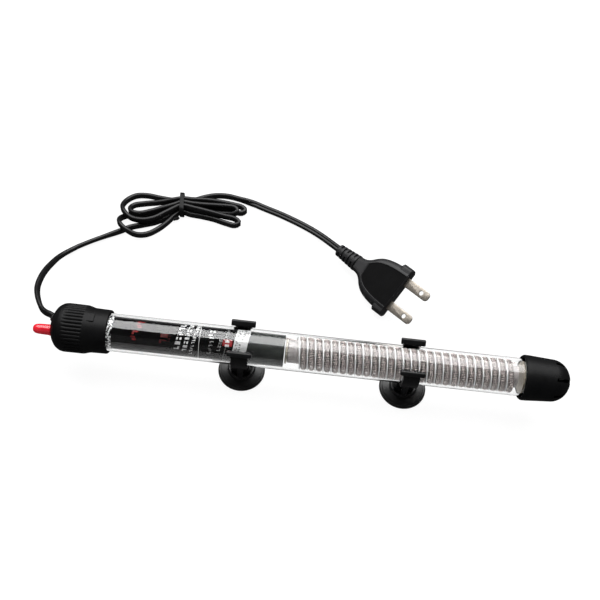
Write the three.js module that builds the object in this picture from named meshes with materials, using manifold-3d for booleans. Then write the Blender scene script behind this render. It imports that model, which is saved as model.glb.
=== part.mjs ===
// Submersible aquarium heater: a glass tube that holds a bimetal thermostat and a resistance coil
// wound on a finned ceramic former. A ribbed head cap carries the setting knob and the mains lead,
// a slotted guard covers the round end of the glass, and two sliding clips stand on suction cups.
// Units are millimetres. X runs along the tube from the knob to the guard, Z is up, and z = 0 is
// the surface that the suction cups rest on.
import * as THREE from "three";
import { mergeVertices } from "three/addons/utils/BufferGeometryUtils.js";
import Module from "manifold-3d";

const wasm = await Module();
wasm.setup();

// ---- Driving dimensions ----
const HALF_LENGTH = 162.5;
const AXIS_HEIGHT = 31.5;
const GAP = 0.3;

const GLASS_RADIUS = 11.5;
const GLASS_INSIDE = 10.3;
const GLASS_MOUTH = -131.6;
const GLASS_DOME = 141;

const CAP_FACE = -151;
const CAP_MOUTH = -116.5;
const CAP_SHOULDER = -134.2;
const CAP_BORE = GLASS_RADIUS + GAP;
const RIB_COUNT = 40;
const RIB_START = -142.6;
const RIB_END = -130.6;
const RIB_DEPTH = 0.6;

const KNOB_Y = -3;
const KNOB_RADIUS = 3.5;
const SPINDLE_RADIUS = 1.9;

const SLEEVE_END = -10.5;
const SLEEVE_RADIUS = 9.75;

const CORE_RADIUS = 6.9;
const CORE_BORE = 3;
const CORE_START = -8.2;
const CORE_END = 129.9;
const COIL_TURNS = 27;
const COIL_PITCH = 4.77;
const COIL_START = -0.6;
const COIL_RADIUS = 8.6;
const COIL_WIRE = 1.1;
const FIN_RADIUS = 9.5;
const FIN_THICKNESS = 0.6;

const GUARD_MOUTH = 133;
const GUARD_SLOTS = 7;

const CLIP_PLACES = { clip_head: -36.7, clip_tail: 66.1 };
const CLIP_OPENING = THREE.MathUtils.degToRad(42);
const CLIP_INSIDE = GLASS_RADIUS + GAP;
const CLIP_OUTSIDE = 13.6;
const CLIP_FOOT = 5.6;
const CUP_RADIUS = 14.8;
const CUP_TOP = 5.2;

const CORD_WIDTH = 4.9;
const CORD_THICKNESS = 3;
const HANK_HEIGHT = 10.4;
const TIE_X = -95;
const TIE_WIDTH = 3;

const ROUND = 36;
const SMALL_ROUND = 16;

// ---- Materials ----
function finish(color, roughness, metalness = 0, opacity = 1) {
  return new THREE.MeshStandardMaterial({
    color,
    roughness,
    metalness,
    opacity,
    transparent: opacity < 1,
  });
}
const blackPlastic = () => finish(0x19191b, 0.45);
const blackRubber = () => finish(0x161617, 0.6);
const redPlastic = () => finish(0xd3192b, 0.3);
const clearGlass = () => finish(0xf2f6f6, 0.05, 0, 0.25);
const labelFilm = () => finish(0x0c0c0e, 0.3);
const whitePaper = () => finish(0xe9e9ea, 0.6);
const whiteCeramic = () => finish(0xdfdcd6, 0.7);
const coilWire = () => finish(0x6c625c, 0.35, 0.9);
const brightSteel = () => finish(0xb9bbbd, 0.3, 1);
const warmBrass = () => finish(0xb8964f, 0.35, 1);
const coppery = () => finish(0xa8643c, 0.4, 1);
const greyMica = () => finish(0xb5aa98, 0.6);
const brownBoard = () => finish(0x6b4a2e, 0.7);
const wireSleeve = () => finish(0xd9d4c4, 0.6);
const amberGlass = () => finish(0xe8843a, 0.15, 0, 0.7);

// ---- Geometry helpers ----
const X_AXIS = new THREE.Vector3(1, 0, 0);
const Y_AXIS = new THREE.Vector3(0, 1, 0);
const Z_AXIS = new THREE.Vector3(0, 0, 1);

// A manifold solid from a closed three.js geometry.
function solid(geometry) {
  const flat = geometry.index ? geometry.toNonIndexed() : geometry.clone();
  const bare = new THREE.BufferGeometry();
  bare.setAttribute("position", flat.getAttribute("position"));
  const merged = mergeVertices(bare, 1e-4);
  const vertProperties = merged.attributes.position.array;
  const triVerts = new Uint32Array(merged.index.array);
  return new wasm.Manifold(
    new wasm.Mesh({ numProp: 3, vertProperties, triVerts }),
  );
}

// A three.js geometry from a manifold solid.
function geometryOf(body) {
  const mesh = body.getMesh();
  const geometry = new THREE.BufferGeometry();
  geometry.setAttribute(
    "position",
    new THREE.BufferAttribute(mesh.vertProperties, 3),
  );
  geometry.setIndex(new THREE.BufferAttribute(mesh.triVerts, 1));
  const faceted = geometry.toNonIndexed();
  faceted.computeVertexNormals();
  return faceted;
}

function joined(first, ...others) {
  const body = others.reduce((sum, next) => sum.add(solid(next)), solid(first));
  return geometryOf(body);
}

function cutBy(first, ...others) {
  const rest = (left, next) => left.subtract(solid(next));
  return geometryOf(others.reduce(rest, solid(first)));
}

// A profile, a list of [along, radius] pairs, in the order that makes a lathe face outwards.
function outward(pairs) {
  const points = pairs.map(([along, radius]) => new THREE.Vector2(radius, along));
  return THREE.ShapeUtils.area(points) > 0 ? points : points.reverse();
}

// A body turned about the X axis.
function turned(pairs, segments = ROUND) {
  const lathe = new THREE.LatheGeometry(outward(pairs), segments);
  return lathe.rotateZ(-Math.PI / 2);
}

// A body turned about the Z axis, from [height, radius] pairs.
function turnedUp(pairs, segments = ROUND) {
  return new THREE.LatheGeometry(outward(pairs), segments).rotateX(Math.PI / 2);
}

// A rod along X between two places.
function rod(from, to, radius, segments = SMALL_ROUND) {
  return turned([[from, 0], [from, radius], [to, radius], [to, 0]], segments);
}

// A ring along X: a tube with flat ends.
function ring(from, to, inside, outside, segments = ROUND) {
  const corners = [[from, inside], [from, outside], [to, outside], [to, inside]];
  return turned([...corners, corners[0]], segments);
}

// A box between two opposite corners.
function block([x0, y0, z0], [x1, y1, z1]) {
  const box = new THREE.BoxGeometry(x1 - x0, y1 - y0, z1 - z0);
  return box.translate((x0 + x1) / 2, (y0 + y1) / 2, (z0 + z1) / 2);
}

// A shape drawn in Y and Z, given a width along X and centred on x.
function across(shape, width, x = 0, curveSegments = 12) {
  const options = { depth: width, bevelEnabled: false, curveSegments };
  const slab = new THREE.ExtrudeGeometry(shape, options);
  slab.applyMatrix4(new THREE.Matrix4().makeBasis(Y_AXIS, Z_AXIS, X_AXIS));
  return slab.translate(x - width / 2, 0, 0);
}

// A section with equal sides, stretched to two half widths.
function section(sides, halfX, halfY = halfX) {
  const corner = (_, i) => {
    const angle = ((i + 0.5) / sides) * 2 * Math.PI;
    return new THREE.Vector2(halfX * Math.cos(angle), halfY * Math.sin(angle));
  };
  return new THREE.Shape(Array.from({ length: sides }, corner));
}

// A solid swept along a curve.
function swept(curve, shape, steps) {
  const options = { steps, bevelEnabled: false, extrudePath: curve };
  return new THREE.ExtrudeGeometry(shape, options);
}

function curveThrough(points) {
  return new THREE.CatmullRomCurve3(points.map((p) => new THREE.Vector3(...p)));
}

function roundedOutline(halfX, halfY, radius) {
  const shape = new THREE.Shape();
  shape.absarc(halfX - radius, halfY - radius, radius, 0, Math.PI / 2);
  shape.absarc(radius - halfX, halfY - radius, radius, Math.PI / 2, Math.PI);
  shape.absarc(radius - halfX, radius - halfY, radius, Math.PI, 1.5 * Math.PI);
  shape.absarc(halfX - radius, radius - halfY, radius, 1.5 * Math.PI, 2 * Math.PI);
  return shape;
}

// ---- Assembly frame ----
const heater = new THREE.Group();
const tube = new THREE.Group(); // everything centred on the axis of the glass
tube.position.z = AXIS_HEIGHT;
heater.add(tube);

function place(group, name, geometry, material) {
  const mesh = new THREE.Mesh(geometry, material);
  mesh.name = name;
  group.add(mesh);
}

// ---- Glass tube, open at the head and round at the far end ----
function glassTube() {
  const arc = (radius, steps) =>
    Array.from({ length: steps + 1 }, (_, i) => {
      const angle = (i / steps) * (Math.PI / 2);
      return [GLASS_DOME + radius * Math.sin(angle), radius * Math.cos(angle)];
    });
  const domeSteps = 5;
  const outside = [[GLASS_MOUTH, GLASS_RADIUS], ...arc(GLASS_RADIUS, domeSteps)];
  const inside = [[GLASS_MOUTH, GLASS_INSIDE], ...arc(GLASS_INSIDE, domeSteps)];
  for (const wall of [outside, inside]) wall[wall.length - 1][1] = 0;
  return turned([...outside.reverse(), ...inside]);
}
place(tube, "glass_tube", glassTube(), clearGlass());

// ---- Head cap ----
// Pulls every second lengthwise row of the ribbed zone inwards, which leaves round-backed ribs.
function cutFlutes(geometry) {
  const position = geometry.getAttribute("position");
  for (let i = 0; i < position.count; i++) {
    const x = position.getX(i);
    const y = position.getY(i);
    const z = position.getZ(i);
    const radius = Math.hypot(y, z);
    const onRibs = x > RIB_START && x < RIB_END && radius > GLASS_RADIUS + 1;
    const row = Math.round((Math.atan2(z, y) * RIB_COUNT) / Math.PI);
    if (onRibs && row % 2 !== 0) {
      const scale = (radius - RIB_DEPTH) / radius;
      position.setY(i, y * scale);
      position.setZ(i, z * scale);
    }
  }
  return geometry;
}

const capOutside = [
  [CAP_FACE, 0],
  [CAP_FACE, 7],
  [-149.8, 9.9],
  [-147.9, 12.6],
  [-145.3, 14.35],
  [RIB_START, 14.75],
  [RIB_START + 0.6, 14.85],
  [RIB_END - 0.6, 14.75],
  [RIB_END, 14.6],
  [-126.8, 13.5],
  [-117.2, 13.2],
  [CAP_MOUTH, 12.8],
  [CAP_MOUTH, 0],
];
const capInside = [
  [CAP_MOUTH + 1, 0],
  [CAP_MOUTH + 1, CAP_BORE],
  [-119.4, CAP_BORE],
  [-119.4, 12.6],
  [-121.5, 12.6],
  [-121.5, CAP_BORE],
  [CAP_SHOULDER, CAP_BORE],
  [CAP_SHOULDER, 9],
  [-146, 9],
  [-146, 0],
];
// The mains lead leaves through the edge of the end face, square to the cone.
const GLAND_SPOT = new THREE.Vector3(CAP_FACE, 4.9, 1);
const GLAND_TURN = THREE.MathUtils.degToRad(-35);
const GLAND_HOLE = 3.3;
const GLAND_DEPTH = 2.4;
const CORD_HOLE = 2.5;

function onGland(geometry) {
  return geometry.rotateZ(GLAND_TURN).translate(...GLAND_SPOT.toArray());
}

function headCap() {
  const outside = cutFlutes(turned(capOutside, 2 * RIB_COUNT));
  const padTilt = THREE.MathUtils.degToRad(-5);
  const pad = block([-130.4, -3, 11.9], [-124.4, 3, 14.3]).rotateX(padTilt);
  const inside = turned(capInside);
  const spindleHole = rod(CAP_FACE - 1, -145, 2.3).translate(0, KNOB_Y, 0);
  const sealSeat = rod(-149, -147, 3.3).translate(0, KNOB_Y, 0);
  const glandHole = onGland(rod(-3, GLAND_DEPTH + GAP, GLAND_HOLE));
  const cordHole = onGland(rod(0, 8, CORD_HOLE));
  return cutBy(joined(outside, pad), inside, spindleHole, sealSeat, glandHole, cordHole);
}
place(tube, "head_cap", headCap(), blackPlastic());

place(tube, "cap_gasket", ring(-121.2, -119.7, 11.85, 12.3), blackRubber());

function headSeal() {
  const flange = rod(CAP_SHOULDER + GAP, GLASS_MOUTH - GAP, 11.4, ROUND);
  const bung = rod(GLASS_MOUTH - 1, -123, GLASS_INSIDE - GAP, ROUND);
  const spindleHole = rod(-140, -120, 2.3).translate(0, KNOB_Y, 0);
  return cutBy(joined(flange, bung), spindleHole);
}
place(tube, "head_seal", headSeal(), blackRubber());

const glandRing = onGland(ring(-1.2, GLAND_DEPTH, 2.6, GLAND_HOLE - GAP, SMALL_ROUND));
place(tube, "cord_gland", glandRing, blackRubber());

// ---- Setting knob, spindle and adjuster screw, on one axis beside the tube's ----
const knobLine = new THREE.Group();
knobLine.position.y = KNOB_Y;
tube.add(knobLine);

const KNOB_BASE = CAP_FACE - GAP;
const knobProfile = [
  [KNOB_BASE, 2.2],
  [KNOB_BASE, KNOB_RADIUS],
  [-154.6, KNOB_RADIUS],
  [-159.8, 3.15],
  [-161.5, 2.5],
  [-162.3, 1.4],
  [-HALF_LENGTH, 0],
  [-158, 0],
  [-158, 2.2],
  [KNOB_BASE, 2.2],
];
place(knobLine, "temperature_knob", turned(knobProfile, 18), redPlastic());
place(knobLine, "knob_spindle", rod(-157.6, -128, SPINDLE_RADIUS), brightSteel());
place(knobLine, "adjuster_screw", rod(-127.6, -84, 1.8, 12), warmBrass());
place(knobLine, "spindle_oring", ring(-148.7, -147.3, 2.2, 3.1, 24), blackRubber());

// ---- Thermostat ----
const frameTop = -4;
const frameBottom = -5.2;
function thermostatFrame() {
  const board = block([-118, -6.5, frameBottom], [-20, 6.5, frameTop]);
  const window = block([-70, -2, frameBottom - 1], [-46, 2, frameTop + 1]);
  return cutBy(board, window);
}
place(tube, "thermostat_frame", thermostatFrame(), brownBoard());

function screwBracket() {
  const upright = block([-110, -6, frameTop + GAP], [-108.8, 0.4, 3.4]);
  const foot = block([-110, -6, frameTop + GAP], [-102, 0.4, frameTop + GAP + 0.8]);
  const hole = rod(-112, -106, 2.1).translate(0, KNOB_Y, 0);
  return cutBy(joined(upright, foot), hole);
}
place(tube, "screw_bracket", screwBracket(), brightSteel());

const RAMP_SLOPE = 0.4;
function adjusterSlider() {
  const nut = block([-98, -6, -2.8], [-90, 0, 3]);
  const ramp = new THREE.Shape();
  const rampLength = 5;
  ramp.moveTo(0, 0);
  ramp.lineTo(rampLength, 0);
  ramp.lineTo(rampLength, RAMP_SLOPE * rampLength + 0.1);
  ramp.lineTo(0, 0.1);
  const wedge = new THREE.ExtrudeGeometry(ramp, { depth: 3, bevelEnabled: false });
  wedge.rotateX(Math.PI / 2).translate(-97, KNOB_Y + 1.5, 2.9);
  const bore = rod(-100, -88, 2.1).translate(0, KNOB_Y, 0);
  return cutBy(joined(nut, wedge), bore);
}
place(tube, "adjuster_slider", adjusterSlider(), warmBrass());

const ARM_HEIGHT = 6;
const CONTACT_X = -78;
function contactArm() {
  const leaf = block([-96, -4.5, ARM_HEIGHT - 0.3], [-63, -1.5, ARM_HEIGHT + 0.3]);
  const follower = new THREE.CylinderGeometry(0.8, 0.8, 2.6, 12);
  follower.translate(-94, KNOB_Y, ARM_HEIGHT - 0.5);
  const contact = new THREE.CylinderGeometry(1.2, 1.2, 1.3, 12);
  contact.rotateX(Math.PI / 2).translate(CONTACT_X, KNOB_Y, ARM_HEIGHT - 0.75);
  return joined(leaf, follower, contact);
}
place(tube, "contact_arm", contactArm(), coppery());

const armPost = block([-62.6, -5.5, frameTop + GAP], [-59, -0.5, ARM_HEIGHT + 0.6]);
place(tube, "arm_post", armPost, greyMica());

const BIMETAL_HEIGHT = 2.4;
function bimetalStrip() {
  const low = BIMETAL_HEIGHT - 0.4;
  const high = BIMETAL_HEIGHT + 0.4;
  const strip = block([-80, -5.3, low], [-31, -0.7, high]);
  const detour = block([-65, -1.8, low], [-56, 1.5, high]);
  const postRoom = block([-64, -5.8, low - 1], [-57, 0.3, high + 1]);
  const contact = new THREE.CylinderGeometry(1.2, 1.2, 1.2, 12);
  contact.rotateX(Math.PI / 2).translate(CONTACT_X, KNOB_Y, high + 0.4);
  return joined(cutBy(joined(strip, detour), postRoom), contact);
}
place(tube, "bimetal_strip", bimetalStrip(), coppery());

const bimetalPost = block([-30.4, -5.8, frameTop + GAP], [-26, -0.2, 4.4]);
place(tube, "bimetal_post", bimetalPost, greyMica());

const magnet = block([-77, -5, frameTop + GAP], [-73, -1, -1.6]);
place(tube, "snap_magnet", magnet, brightSteel());

// The lamp and its resistor lie in line, beside the thermostat.
const lampLine = new THREE.Group();
lampLine.position.set(0, 3.9, 0.6);
tube.add(lampLine);
const lamp = turned([[-100, 0], [-99, 1.5], [-97.5, 2.2], [-90, 2.2], [-89, 0]], SMALL_ROUND);
place(lampLine, "neon_lamp", lamp, amberGlass());
const resistor = turned([[-86, 0], [-85.5, 1.2], [-79.5, 1.2], [-79, 0]], 12);
place(lampLine, "lamp_resistor", resistor, whiteCeramic());

const rivetPlaces = [-114, -53, -23];
rivetPlaces.forEach((x, i) => {
  const rivet = new THREE.CylinderGeometry(1.3, 1.6, 0.9, 12).rotateX(Math.PI / 2);
  rivet.translate(x, 4.2 - 1.2 * i, frameTop + GAP + 0.45);
  place(tube, `frame_rivet_${i + 1}`, rivet, brightSteel());
});

// ---- Wires inside the tube ----
function wire(points, steps, radius = 0.75) {
  return swept(curveThrough(points), section(8, radius), steps);
}
const liveRoute = [
  [-122.6, 4.5, 4.2],
  [-112, 4.2, 5],
  [-96, 3.6, 5.6],
  [-76, 2.6, 5.8],
  [-66, 2.2, 5.2],
  [-58, 0.8, 5.2],
];
place(tube, "live_wire", wire(liveRoute, 16), wireSleeve());
const neutralRoute = [
  [-122.6, 5.5, -2],
  [-100, 6.8, -2],
  [-60, 6.8, -2],
  [-30, 5.6, -1.5],
  [-16, 1.6, -0.4],
  [-10.4, 0, 0],
];
place(tube, "neutral_wire", wire(neutralRoute, 20), wireSleeve());

// ---- Heating element ----
const coilAngle = (turns) => 2 * Math.PI * turns;
class CoilPath extends THREE.Curve {
  getPoint(t, target = new THREE.Vector3()) {
    const turns = t * COIL_TURNS;
    const angle = coilAngle(turns);
    const y = COIL_RADIUS * Math.cos(angle);
    const z = COIL_RADIUS * Math.sin(angle);
    return target.set(COIL_START + COIL_PITCH * turns, y, z);
  }
}

// Bends a straight strip onto the helix: its length becomes turns, its height becomes radius.
function wrapRound(strip, start, turns) {
  const position = strip.getAttribute("position");
  for (let i = 0; i < position.count; i++) {
    const along = position.getX(i) * turns;
    const radius = position.getY(i);
    const x = start + COIL_PITCH * along - position.getZ(i);
    const angle = coilAngle(along);
    position.setXYZ(i, x, radius * Math.cos(angle), radius * Math.sin(angle));
  }
  return strip;
}

function ceramicCore() {
  const stepsPerTurn = 8;
  const turns = COIL_TURNS - 1;
  const root = CORE_RADIUS - 1;
  const height = FIN_RADIUS - root;
  const strip = new THREE.BoxGeometry(1, height, FIN_THICKNESS, turns * stepsPerTurn, 1, 1);
  strip.translate(0.5, root + height / 2, 0);
  const fin = wrapRound(strip, COIL_START + COIL_PITCH / 2, turns);
  const core = rod(CORE_START, CORE_END, CORE_RADIUS);
  const bore = rod(CORE_START - 1, CORE_END + 1, CORE_BORE, 8);
  return cutBy(joined(core, fin), bore);
}
place(tube, "ceramic_core", ceramicCore(), whiteCeramic());

const coilSteps = 10 * COIL_TURNS;
const coil = swept(new CoilPath(), section(5, COIL_WIRE), coilSteps);
place(tube, "heating_coil", coil, coilWire());

place(tube, "upper_mica_disc", ring(-9.6, -8.6, 1.4, 7.4, 24), greyMica());
place(tube, "lower_mica_disc", rod(132.6, 133.4, 9.8, 24), greyMica());
const padProfile = [[133.8, 0], [133.8, 8.8], [134.6, 9.6], [139, 9.4], [140.4, 8.4], [140.4, 0]];
place(tube, "fibre_pad", turned(padProfile, 24), whitePaper());

const elementRoute = [
  [-25.6, 2.2, 4],
  [-20, 4.6, 5],
  [-14, 7.4, 3],
  [-8, 8.5, 0.4],
  [COIL_START - 2.4, COIL_RADIUS, -1.2],
];
place(tube, "element_lead", wire(elementRoute, 12), coilWire());

const coilEnd = COIL_START + COIL_PITCH * COIL_TURNS;
const returnRoute = [
  [coilEnd + 1.2, COIL_RADIUS, 1.6],
  [129.6, COIL_RADIUS, 2],
  [131.3, 7, 1.8],
  [131.3, 2.6, 0.6],
  [130, 0.4, 0],
  [126, 0, 0],
  [60, 0, 0],
  [-9.7, 0, 0],
];
place(tube, "return_lead", wire(returnRoute, 32, 0.6), coilWire());

// ---- Printed sleeve and specification sticker behind the glass ----
const sleeve = ring(-122.4, SLEEVE_END, SLEEVE_RADIUS - 0.35, SLEEVE_RADIUS);
place(tube, "label_sleeve", sleeve, labelFilm());

function stickerPatch() {
  const [from, to] = [30, 165].map(THREE.MathUtils.degToRad);
  const patch = new THREE.Shape();
  patch.absarc(0, 0, SLEEVE_RADIUS + 0.36, from, to, false);
  patch.absarc(0, 0, SLEEVE_RADIUS + 0.18, to, from, true);
  return across(patch, 8, -37.4, 20);
}
place(tube, "spec_sticker", stickerPatch(), whitePaper());

// ---- Slotted guard over the round end of the glass ----
function endGuard() {
  const dome = Array.from({ length: 9 }, (_, i) => {
    const angle = (i / 8) * (Math.PI / 2);
    return [151 + (HALF_LENGTH - 151) * Math.sin(angle), 12.8 * Math.cos(angle)];
  });
  dome[dome.length - 1][1] = 0;
  const lip = [[GUARD_MOUTH, 13], [GUARD_MOUTH + 0.9, 13.8], [GUARD_MOUTH + 3.5, 13.75]];
  const outside = [...lip, ...dome];
  const inside = [
    [GUARD_MOUTH, 12.4],
    [GUARD_MOUTH + 1.5, 11.8],
    [142, 11.8],
    [150, 11.3],
    [155, 9.6],
    [159, 6],
    [159.6, 3.4],
    [156, 2.4],
    [156, 0],
  ];
  const slotHalf = 1.05;
  const firstSlot = 115;
  const slots = Array.from({ length: GUARD_SLOTS }, (_, i) => {
    const slot = block([151.5, 2.6, -slotHalf], [HALF_LENGTH + 1, 14, slotHalf]);
    return slot.rotateX(THREE.MathUtils.degToRad(firstSlot + (360 / GUARD_SLOTS) * i));
  });
  return cutBy(turned([...outside.reverse(), ...inside]), ...slots);
}
place(tube, "end_guard", endGuard(), blackRubber());

// ---- Sliding clips and suction cups ----
function gripLip(side) {
  const bar = across(roundedOutline(1.9, 1.5, 0.6), 14.7, 0, 3);
  const lean = side > 0 ? CLIP_OPENING : Math.PI - CLIP_OPENING;
  return bar.translate(0, 14.3, 0).rotateX(lean);
}

function clip() {
  const jaw = new THREE.Shape();
  const from = Math.PI - CLIP_OPENING;
  const to = 2 * Math.PI + CLIP_OPENING;
  jaw.absarc(0, 0, CLIP_OUTSIDE, from, to, false);
  jaw.absarc(0, 0, CLIP_INSIDE, to, from, true);
  const foot = CLIP_FOOT - AXIS_HEIGHT;
  const neck = -CLIP_INSIDE - 0.6;
  const column = block([-4.8, -3, foot + 2], [4.8, 3, neck]);
  const flange = block([-6.3, -4, foot], [6.3, 4, foot + 2.4]);
  const rib = block([-1.8, -8.2, foot], [1.8, 8.2, neck]);
  const ribFront = block([-1.8, -8.2, neck - 1], [1.8, -6.4, -10.4]);
  const ribBack = block([-1.8, 6.4, neck - 1], [1.8, 8.2, -10.4]);
  const studProfile = [
    [foot - 2.8, 0],
    [foot - 2.8, 2.9],
    [foot - 1.5, 2.9],
    [foot - 1.2, 2],
    [foot + 0.5, 2],
    [foot + 0.5, 0],
  ];
  const stud = turnedUp(studProfile, 12);
  const lips = [gripLip(1), gripLip(-1)];
  return joined(across(jaw, 10, 0, 18), ...lips, column, flange, rib, ribFront, ribBack, stud);
}

// A shallow dish with a flat rim and, on its back, a round boss that the clip's stud snaps into.
function suctionCup() {
  const profile = [
    [1.5, 0],
    [1.3, 6],
    [0.3, 11.8],
    [0, 12.4],
    [0, CUP_RADIUS],
    [0.9, CUP_RADIUS],
    [1.6, 14],
    [2.9, 9],
    [3.2, 8.5],
    [4.6, 8.5],
    [CUP_TOP, 7.9],
    [CUP_TOP, 2.5],
    [4.5, 2.5],
    [4.4, 3.3],
    [2.3, 3.3],
    [2.3, 0],
  ];
  return turnedUp(profile, 32);
}

for (const [name, x] of Object.entries(CLIP_PLACES)) {
  place(tube, name, clip().translate(x, 0, 0), blackPlastic());
  const cupName = name.replace("clip", "suction_cup");
  place(heater, cupName, suctionCup().translate(x, 0, 0), blackRubber());
}

// ---- Mains lead: free lead, tied hank, tail and moulded plug ----
const cordSection = section(8, CORD_THICKNESS / 2 / Math.cos(Math.PI / 8), CORD_WIDTH / 2);
const leadRoute = [
  [-152.4, 5.9, 32.5],
  [-155, 7.4, 32],
  [-158, 8.9, 30.9],
  [-161.4, 11.7, 29.7],
  [-164.9, 16.9, 28.4],
  [-168.2, 23.6, 26.4],
  [-170.4, 30.2, 24],
  [-171.2, 37, 21.8],
  [-171.5, 47.2, 16.9],
  [-170.6, 57.8, 10.9],
  [-168.5, 66.8, 6.2],
  [-162.2, 76.7, 2.4],
  [-153.4, 83.4, 2],
  [-145.4, 88.6, 2],
  [-142.2, 91, 2],
];
place(heater, "cord_lead", swept(curveThrough(leadRoute), cordSection, 36), blackRubber());

const hankOutline = [
  [-140.4, 97],
  [-140.6, 108],
  [-140, 119],
  [-136.8, 127.6],
  [-129, 131],
  [-114, 131.2],
  [-101, 129.6],
  [-91, 129.6],
  [-81, 138.6],
  [-69.8, 141.2],
  [-58, 138.8],
  [-49.6, 135.4],
  [-46.2, 129],
  [-46.2, 119],
  [-49.4, 110.2],
  [-55.6, 107.4],
  [-70, 111.8],
  [-90, 113.2],
  [-99.5, 113.2],
  [-104.5, 105.5],
  [-110.4, 95.6],
  [-119, 88.9],
  [-130, 88.6],
  [-137.6, 91.4],
];
function cordHank() {
  const points = hankOutline.map(([x, y]) => new THREE.Vector3(x, y, 0));
  const rim = new THREE.CatmullRomCurve3(points, true).getPoints(72);
  const outline = new THREE.Shape(rim.slice(0, -1).map((p) => new THREE.Vector2(p.x, p.y)));
  const pack = new THREE.ExtrudeGeometry(outline, { depth: HANK_HEIGHT, bevelEnabled: false });
  const tieRoom = block([TIE_X - TIE_WIDTH, 100, -1], [TIE_X + TIE_WIDTH, 140, 1.3]);
  return cutBy(pack, tieRoom);
}
place(heater, "cord_hank", cordHank(), blackRubber());

function cordTie() {
  const middle = [121.4, (HANK_HEIGHT + 1.3) / 2];
  const band = roundedOutline(9.6, 5.6, 2);
  band.holes.push(new THREE.Path(roundedOutline(8.8, 4.9, 1.4).getPoints(4)));
  return across(band, TIE_WIDTH, TIE_X, 4).translate(0, ...middle);
}
place(heater, "cord_tie", cordTie(), blackPlastic());

const tailRoute = [
  [-44.2, 132.1, 2.2],
  [-40, 130.6, 2],
  [-34, 128.5, 1.8],
  [-25.5, 125.5, 1.7],
  [-12.2, 119.9, 1.8],
  [-2, 114.5, 2.4],
  [5.4, 109, 3.8],
  [11.5, 103.2, 5.8],
  [16.4, 98.2, 7.7],
  [18, 96.7, 8.2],
];
place(heater, "cord_tail", swept(curveThrough(tailRoute), cordSection, 24), blackRubber());

// The plug lies on the edge of its flange: its own X points along the blades, its own Y across.
const plug = new THREE.Group();
plug.position.set(59.4, 61.4, 13.95);
plug.rotation.set(
  THREE.MathUtils.degToRad(30),
  THREE.MathUtils.degToRad(-6),
  THREE.MathUtils.degToRad(-40),
  "ZYX",
);
heater.add(plug);

const PLUG_BACK = -53.4;
const BLADE_SPACING = 18.9;
const BLADE_WIDTH = 6.35;
const BLADE_THICKNESS = 1.5;
const BLADE_REACH = 18.8;
const BLADE_ROOT = -5;

// A ribbed sleeve that widens towards the plug.
function strainRelief() {
  const rings = [[PLUG_BACK, 0]];
  const ringCount = 6;
  const ringPitch = 3;
  const ringLength = 1.9;
  const groove = 0.7;
  for (let i = 0; i < ringCount; i++) {
    const x = PLUG_BACK + i * ringPitch;
    const radius = 4.4 + 0.24 * i;
    rings.push([x, radius], [x + ringLength, radius], [x + ringLength + 0.1, radius - groove]);
    rings.push([x + ringPitch - 0.1, radius - groove]);
  }
  rings.push([PLUG_BACK + ringCount * ringPitch, 5.6], [-28, 5.5], [-28, 0]);
  return turned(rings, SMALL_ROUND);
}

function plugBody() {
  const half = [[-40, 5.2], [-34, 6.2], [-29.5, 8], [-24.5, 12], [-18, 15], [-10, 16.6], [-6, 17]];
  const nearSide = half.map(([x, y]) => new THREE.Vector2(x, -y));
  const farSide = half.map(([x, y]) => new THREE.Vector2(x, y)).reverse();
  const fan = new THREE.Shape([...nearSide, ...farSide]);
  const bevel = { bevelEnabled: true, bevelThickness: 2, bevelSize: 1.6, bevelOffset: -1.6 };
  const wedge = new THREE.ExtrudeGeometry(fan, { depth: 6.4, bevelSegments: 2, ...bevel });
  wedge.translate(0, 0, -3.2);
  const flange = across(roundedOutline(18.2, 5.5, 2), 7.6, -3.8, 4);
  return joined(wedge, flange, strainRelief());
}

function bladeOutline() {
  const half = BLADE_WIDTH / 2;
  const chamfer = 1.6;
  const holeAt = 12.6;
  const holeRadius = 1.55;
  const outline = new THREE.Shape();
  outline.moveTo(BLADE_ROOT, -half);
  outline.lineTo(BLADE_REACH - chamfer, -half);
  outline.lineTo(BLADE_REACH, -half + chamfer);
  outline.lineTo(BLADE_REACH, half - chamfer);
  outline.lineTo(BLADE_REACH - chamfer, half);
  outline.lineTo(BLADE_ROOT, half);
  outline.holes.push(new THREE.Path().absarc(holeAt, 0, holeRadius, 0, 2 * Math.PI, true));
  return outline;
}

const bladeSides = { plug_blade_1: 1, plug_blade_2: -1 };
const sockets = Object.values(bladeSides).map((side) => {
  const middle = (side * BLADE_SPACING) / 2;
  const half = BLADE_WIDTH / 2 + 0.2;
  const slack = BLADE_THICKNESS / 2 + 0.2;
  return block([BLADE_ROOT - GAP, middle - half, -slack], [1, middle + half, slack]);
});
place(plug, "plug_body", cutBy(plugBody(), ...sockets), blackPlastic());

for (const [name, side] of Object.entries(bladeSides)) {
  const options = { depth: BLADE_THICKNESS, bevelEnabled: false, curveSegments: 6 };
  const blade = new THREE.ExtrudeGeometry(bladeOutline(), options);
  blade.translate(0, (side * BLADE_SPACING) / 2, -BLADE_THICKNESS / 2);
  place(plug, name, blade, brightSteel());
}

export default heater;
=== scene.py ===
"""Looks of a submersible aquarium heater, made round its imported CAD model.

Sizes are in millimetres in the model's own frame, and become metres when a mesh is made.
X runs along the tube from the knob to the guard, Z is up, and the cups rest on z = 0.
"""

import math
import random

import bmesh
import bpy
import numpy as np
from mathutils import Matrix, Vector


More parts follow.
